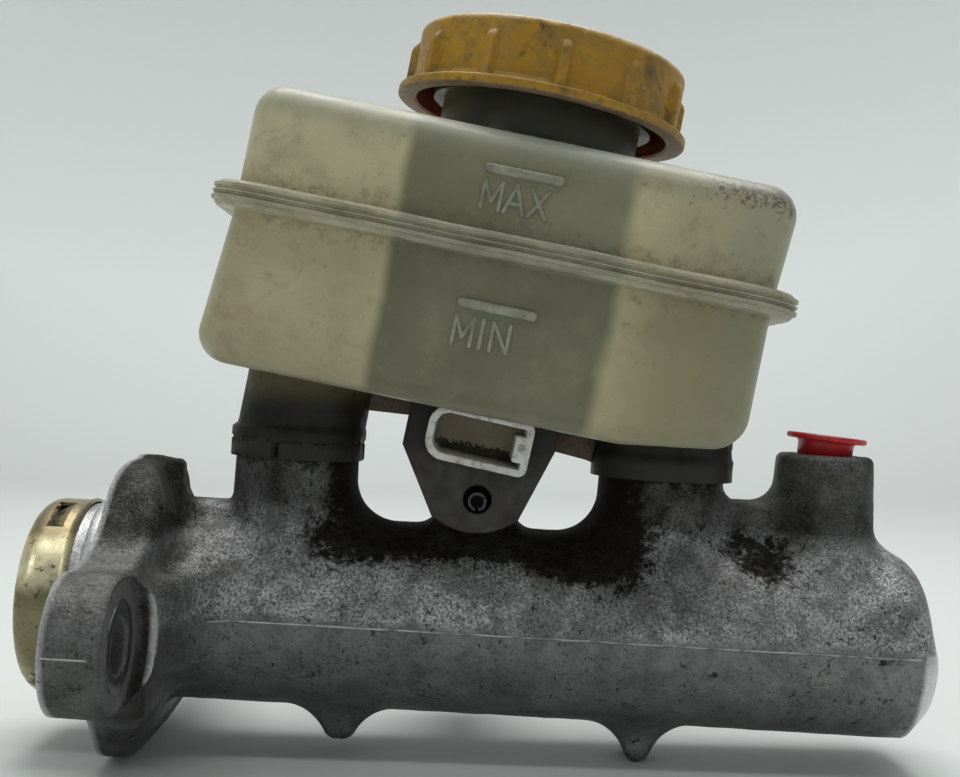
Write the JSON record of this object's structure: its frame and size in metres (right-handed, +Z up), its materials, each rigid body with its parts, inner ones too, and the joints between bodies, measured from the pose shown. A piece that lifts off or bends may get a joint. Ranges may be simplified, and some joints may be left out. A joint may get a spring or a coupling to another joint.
{
  "type": "brake master cylinder",
  "caption": "Tandem brake master cylinder: cast barrel with two-ear booster flange, tilted translucent reservoir, ribbed filler cap and plugged outlets.",
  "frame": {"origin": "where the bore's axis meets the flange's mounting face, which is the front end of the locating spigot's wall", "axes": "+X along the bore from the mounting face to the closed end, +Z up through the reservoir bosses"},
  "size_m": [0.1703, 0.113, 0.1413],
  "materials": {
    "cast_aluminium": "as-cast grey aluminium, matt, grimy, bright where machined",
    "gold_zinc": "yellow-passivated zinc plating, dull gold, worn",
    "plain_steel": "bare and zinc-plated steel",
    "spring_steel": "drawn spring wire",
    "piston_aluminium": "turned and anodised aluminium",
    "black_rubber": "moulded rubber",
    "tank_plastic": "milky translucent polypropylene, slightly yellowed, stained",
    "white_plastic": "white moulded plastic",
    "yellow_plastic": "yellow moulded plastic with dark grime",
    "red_plastic": "soft red plastic",
    "magnet": "ferrite"
  },
  "bodies": {
    "cylinder": {"cylinder_body": "cast_aluminium", "mounting_flange": "cast_aluminium", "rear_boss": "cast_aluminium", "front_boss": "cast_aluminium", "boss_web": "cast_aluminium", "front_outlet_boss": "cast_aluminium", "side_outlet_boss": "cast_aluminium", "tongue_lug": "cast_aluminium", "rear_foot": "cast_aluminium", "front_foot": "cast_aluminium", "rear_nozzle": "tank_plastic", "front_nozzle": "tank_plastic", "near_tongue": "tank_plastic", "far_tongue": "tank_plastic", "tongue_web": "tank_plastic", "stopper_cap": "gold_zinc", "stopper_pin": "plain_steel", "rear_reservoir_seal": "black_rubber", "front_reservoir_seal": "black_rubber", "reservoir_lower": "tank_plastic", "reservoir_upper": "tank_plastic", "sensor_sleeve": "white_plastic", "spring_pin": "plain_steel", "strainer": "white_plastic", "secondary_spring": "spring_steel"},
    "primary_piston": {"primary_piston": "piston_aluminium", "primary_rear_cup": "black_rubber", "primary_front_cup": "black_rubber", "primary_cup_retainer": "plain_steel", "primary_spring_screw": "plain_steel"},
    "secondary_piston": {"secondary_piston": "piston_aluminium", "secondary_rear_cups": "black_rubber", "secondary_front_cup": "black_rubber", "secondary_cup_retainer": "plain_steel", "primary_spring_seat": "plain_steel", "primary_spring": "spring_steel"},
    "float": {"float": "white_plastic", "float_magnet": "magnet"},
    "cap_gasket": {"cap_gasket": "black_rubber"},
    "cap": {"filler_cap": "yellow_plastic"},
    "front_plug": {"front_outlet_plug": "red_plastic"},
    "side_plug": {"side_outlet_plug": "red_plastic"}
  },
  "joints": [
    {"name": "primary_slide", "type": "slide", "parent": "cylinder", "child": "primary_piston", "axis": [1, 0, 0], "range_m": [0, 0.027], "stiffness_N_per_m": 1500, "springref_m": -0.02, "deforming": ["primary_spring"]},
    {"name": "secondary_slide", "type": "slide", "parent": "cylinder", "child": "secondary_piston", "axis": [1, 0, 0], "range_m": [0, 0.013], "deforming": ["secondary_spring"]},
    {"name": "float_slide", "type": "slide", "parent": "cylinder", "child": "float", "axis": [0.1444, 0, 0.9895], "range_m": [0, 0.018]},
    {"name": "cap_rise", "type": "slide", "parent": "cylinder", "child": "cap_gasket", "axis": [0.1444, 0, 0.9895], "range_m": [0, 0.00601]},
    {"name": "cap_turn", "type": "hinge", "parent": "cap_gasket", "child": "cap", "pos_m": [0.07374, 0, 0.09677], "axis": [0.1444, 0, 0.9895], "range_deg": [0, 540]},
    {"name": "front_plug_pull", "type": "slide", "parent": "cylinder", "child": "front_plug", "axis": [0, 0, 1], "range_m": [0, 0.04]},
    {"name": "side_plug_pull", "type": "slide", "parent": "cylinder", "child": "side_plug", "axis": [0, 1, 0], "range_m": [0, 0.04]}
  ],
  "couplings": [
    {"joint": "secondary_slide", "follows": "primary_slide", "ratio": 0.48},
    {"joint": "cap_rise", "follows": "cap_turn", "m_per_rad": 0.00063662}
  ]
}
